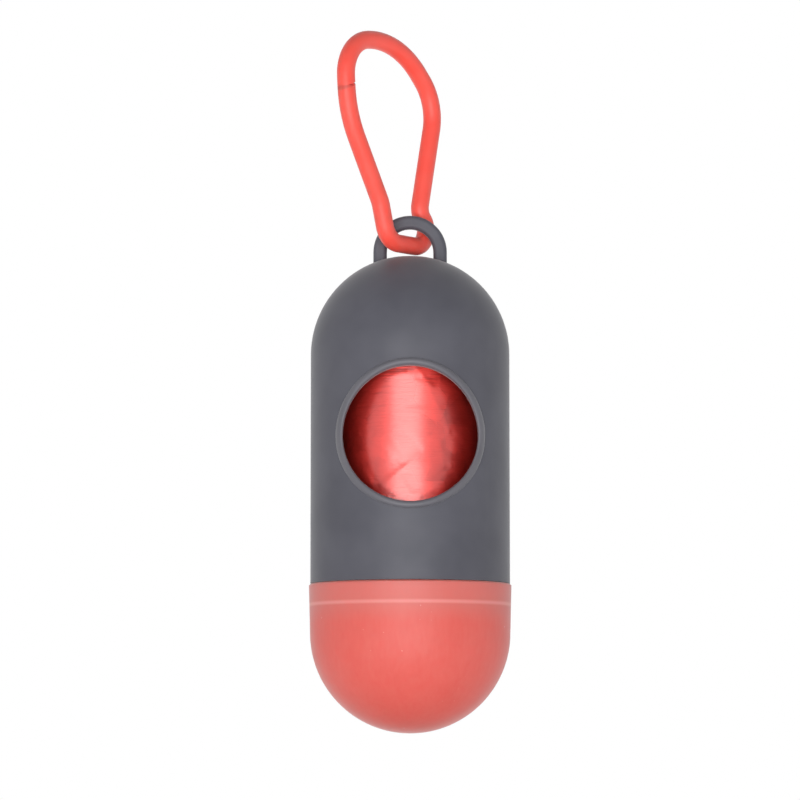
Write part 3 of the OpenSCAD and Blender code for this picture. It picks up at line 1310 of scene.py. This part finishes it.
@dataclass(frozen=True)
class Fold:
    """A crease in the outermost bag, drawn on the unrolled film, and the facet on its left.

    Places are in millimetres: along the film from the window's middle, to the right, and up from
    the window's middle.
    """

    start: tuple[float, float]
    end: tuple[float, float]
    depth: float
    width: float

    def lift(self, along: float, up: float) -> float:
        """Gives how far the fold lifts the film at a place.

        Args:
            along: the place along the film.
            up: the place up the film.

        Returns:
            The lift in millimetres: none on the right of the line, and a facet that dips from
            the line and comes back slowly on its left.
        """
        ax, ay = self.start
        bx, by = self.end
        length = math.hypot(bx - ax, by - ay)
        tx, ty = (bx - ax) / length, (by - ay) / length
        off = (along - ax) * -ty + (up - ay) * tx
        if off <= 0 or off > 6 * self.width:
            return 0.0
        run = (along - ax) * tx + (up - ay) * ty
        beyond = max(0.0, -run, run - length)
        ends = math.exp(-((beyond / (0.35 * self.width + 0.2)) ** 2))
        return -self.depth * (off / self.width) * math.exp(1 - off / self.width) * ends


@dataclass
class BagRefill:
    """The roll of bags: the outermost bag, the wound film and the cardboard tube inside.

    Its lengths are in millimetres. The cap's neck holds the foot of the roll, up to neck_top.
    """

    roll_radius: float = 15.0
    bottom_z: float = 10.24
    length: float = 60.0
    bore_radius: float = 6.6
    wound_radius: float = 14.6
    neck_top: float = 27.0
    edge_deg: float = 55.0
    cover_deg: float = 342.0
    film_thickness: float = 0.07
    film_inset: float = 0.12
    edge_curl: float = 0.35
    edge_curl_deg: float = 5.0
    fold_seed: int = 11
    fold_count: int = 70
    end_rings: int = 26
    layer_pitch: float = 0.75
    layer_drop: float = 0.22
    folds: tuple[Fold, ...] = (
        Fold((-3.6, 11.2), (-1.0, 11.7), 0.06, 1.0),
        Fold((-1.0, 11.7), (1.7, 11.4), 0.06, 1.0),
        Fold((1.7, 12.2), (4.0, 9.4), 0.12, 1.6),
        Fold((1.1, 10.3), (2.9, 9.9), 0.05, 0.6),
        Fold((2.9, 10.1), (5.6, 5.2), 0.1, 2.2),
        Fold((5.6, 5.2), (7.6, 0.8), 0.09, 2.0),
        Fold((7.6, 0.8), (5.9, -1.5), 0.08, 1.6),
        Fold((5.9, -1.5), (6.3, -4.6), 0.09, 2.0),
        Fold((-5.9, -9.6), (-1.1, -5.9), 0.09, 1.5),
        Fold((-1.1, -5.9), (2.1, -3.3), 0.06, 1.3),
        Fold((-1.7, -7.6), (-0.2, -10.7), 0.06, 1.0),
        Fold((-0.4, 5.0), (5.4, 4.9), 0.025, 0.7),
        Fold((1.9, -5.0), (5.6, -5.1), 0.025, 0.7),
        Fold((-3.4, -10.9), (-6.0, -9.3), 0.04, 0.8),
        Fold((-0.8, -11.3), (-3.4, -10.9), 0.04, 0.7),
        Fold((2.2, -11.6), (-0.4, -11.2), 0.05, 0.7),
        Fold((4.6, -10.2), (2.2, -11.4), 0.04, 0.8),
    )
    film: BagFilm = field(default_factory=BagFilm)
    board: SpiralKraftBoard = field(default_factory=SpiralKraftBoard)

    def scattered_folds(self) -> list[Fold]:
        """Draws more folds round the rest of the roll, the same ones each time.

        Returns:
            The folds.
        """
        chance = random.Random(self.fold_seed)
        half = math.pi * self.roll_radius
        made = []
        for _ in range(self.fold_count):
            along = chance.uniform(9.0, 2 * half - 9.0)
            along = along if along < half else along - 2 * half
            up = chance.uniform(-14.0, 12.0)
            way = chance.gauss(math.pi / 2, 0.55)
            reach = chance.uniform(3.0, 9.0)
            made.append(
                Fold(
                    (along, up),
                    (along + reach * math.cos(way), up + reach * math.sin(way)),
                    chance.uniform(0.04, 0.12),
                    chance.uniform(0.8, 2.4),
                )
            )
        return made

    def outer_bag(self) -> bpy.types.Object:
        """Wraps the outermost bag round the roll, creased where it has been handled.

        Returns:
            The piece.
        """
        pick_up()
        bpy.ops.mesh.primitive_grid_add(x_subdivisions=300, y_subdivisions=130, size=1.0)
        bag = bpy.context.object
        bag.name = bag.data.name = "outer_bag"
        settle(bag)
        folds = [*self.folds, *self.scattered_folds()]
        # Rows lie closer together above the neck, where the window can show them
        rows = ((0.0, 0.0), (0.2, self.neck_top), (1.0, self.length))

        def wrap(spot: Vector) -> Vector:
            """Puts a vertex of the flat grid on the roll.

            Args:
                spot: its place on a grid with sides of one, round the origin.

            Returns:
                Its place on the wrapped bag.
            """
            share, row = spot.x + 0.5, spot.y + 0.5
            (r0, z0), (r1, z1) = (rows[0], rows[1]) if row < rows[1][0] else (rows[1], rows[2])
            rise = z0 + (z1 - z0) * (row - r0) / (r1 - r0)
            angle = self.edge_deg + self.cover_deg * share
            along = math.radians((angle - 270 + 180) % 360 - 180) * self.roll_radius
            up = self.bottom_z + rise - WINDOW_Z
            lift = sum(fold.lift(along, up) for fold in folds)
            # Nothing stands out in the neck of the cap or past the roll's ends
            room = min(1.0, max(0.0, (rise - self.neck_top) / 3.0)) * min(1.0, (self.length - rise) / 0.8)
            # The free edge lifts a little
            curl = self.edge_curl * math.exp(-share * self.cover_deg / self.edge_curl_deg) * room
            radius = self.roll_radius - self.film_inset + lift * room + curl
            turn = math.radians(angle)
            return Vector((radius * math.cos(turn), radius * math.sin(turn), self.bottom_z + rise)) * MM

        reshape(bag, wrap)
        apply_modifier(bag, "SOLIDIFY", thickness=self.film_thickness * MM, offset=0.0)
        smooth(bag, 50.0)
        return bag

    def wound_film(self) -> bpy.types.Object:
        """Builds the wound film, with the edges of its layers showing at both ends.

        Returns:
            The piece.
        """
        pick_up()
        bpy.ops.mesh.primitive_cylinder_add(
            vertices=180,
            radius=self.wound_radius * MM,
            depth=self.length * MM,
            end_fill_type="NOTHING",
            location=(0.0, 0.0, (self.bottom_z + self.length / 2) * MM),
        )
        roll = bpy.context.object
        roll.name = roll.data.name = "wound_film"
        settle(roll)
        for end in (0, 1):
            z = (self.bottom_z + end * self.length) * MM
            pick_up(roll)
            bpy.ops.object.mode_set(mode="EDIT")
            bpy.ops.mesh.select_mode(type="VERT")
            bpy.ops.mesh.select_all(action="DESELECT")
            mesh = bmesh.from_edit_mesh(roll.data)
            for corner in mesh.verts:
                corner.select = abs(corner.co.z - z) < 0.01 * MM
            mesh.select_flush(True)
            bmesh.update_edit_mesh(roll.data)
            size = self.wound_radius
            for i in range(1, self.end_rings + 1):
                share = i / self.end_rings
                new_size = self.wound_radius + (self.bore_radius - self.wound_radius) * share
                factor = new_size / size
                bpy.ops.mesh.extrude_region_move()
                bpy.ops.transform.resize(value=(factor, factor, 1.0), center_override=(0.0, 0.0, z))
                size = new_size
            bpy.ops.object.mode_set(mode="OBJECT")
        # The bore joins the two innermost rings
        pick_up(roll)
        bpy.ops.object.mode_set(mode="EDIT")
        bpy.ops.mesh.select_mode(type="EDGE")
        bpy.ops.mesh.select_all(action="DESELECT")
        bpy.ops.mesh.select_non_manifold(extend=False)
        bpy.ops.mesh.bridge_edge_loops()
        bpy.ops.mesh.select_mode(type="VERT")
        bpy.ops.object.mode_set(mode="OBJECT")
        point_outwards(roll)
        reshape(roll, self.wound_edges)
        smooth(roll, 50.0)
        return roll

    def wound_edges(self, spot: Vector) -> Vector:
        """Steps the ends of the roll in a spiral, as the edges of wound layers stand.

        Args:
            spot: a vertex of the plain sleeve.

        Returns:
            Its new place.
        """
        x, y, z = spot / MM
        radius, turn = math.hypot(x, y), math.atan2(y, x)
        middle = self.bottom_z + self.length / 2
        end = math.copysign(1.0, z - middle)
        on_end = abs(abs(z - middle) - self.length / 2) <= 0.01
        if not on_end or not self.bore_radius + 0.1 < radius < self.wound_radius - 0.1:
            return spot
        phase = radius / self.layer_pitch - turn / math.tau
        drop = self.layer_drop * (phase - math.floor(phase))
        # The layers also slipped a little as the roll was handled
        drop += 0.07 * math.sin(5 * turn + radius * 2.1)
        drop += 0.05 * math.sin(11 * turn - radius * 3.7)
        return Vector((x, y, z - end * max(0.0, drop))) * MM

    def build(self) -> None:
        red = self.film.make()
        bag = self.outer_bag()
        dress(bag, red, Body.BAGS, ["leading_bag"])
        roll = self.wound_film()
        dress(roll, red, Body.BAGS, ["bag_roll"])
        dress_node("roll_core", self.board.make())


def main() -> None:
    """Builds the studio and the dispenser's parts in order."""
    logging.basicConfig(level=logging.INFO, format="%(name)s: %(message)s")
    for part in (Studio(), CapsuleShell(), ScrewCap(), SnapHook(), BagRefill()):
        part.build()
        log.info("%s is built", type(part).__name__)


if __name__ == "__main__":
    main()
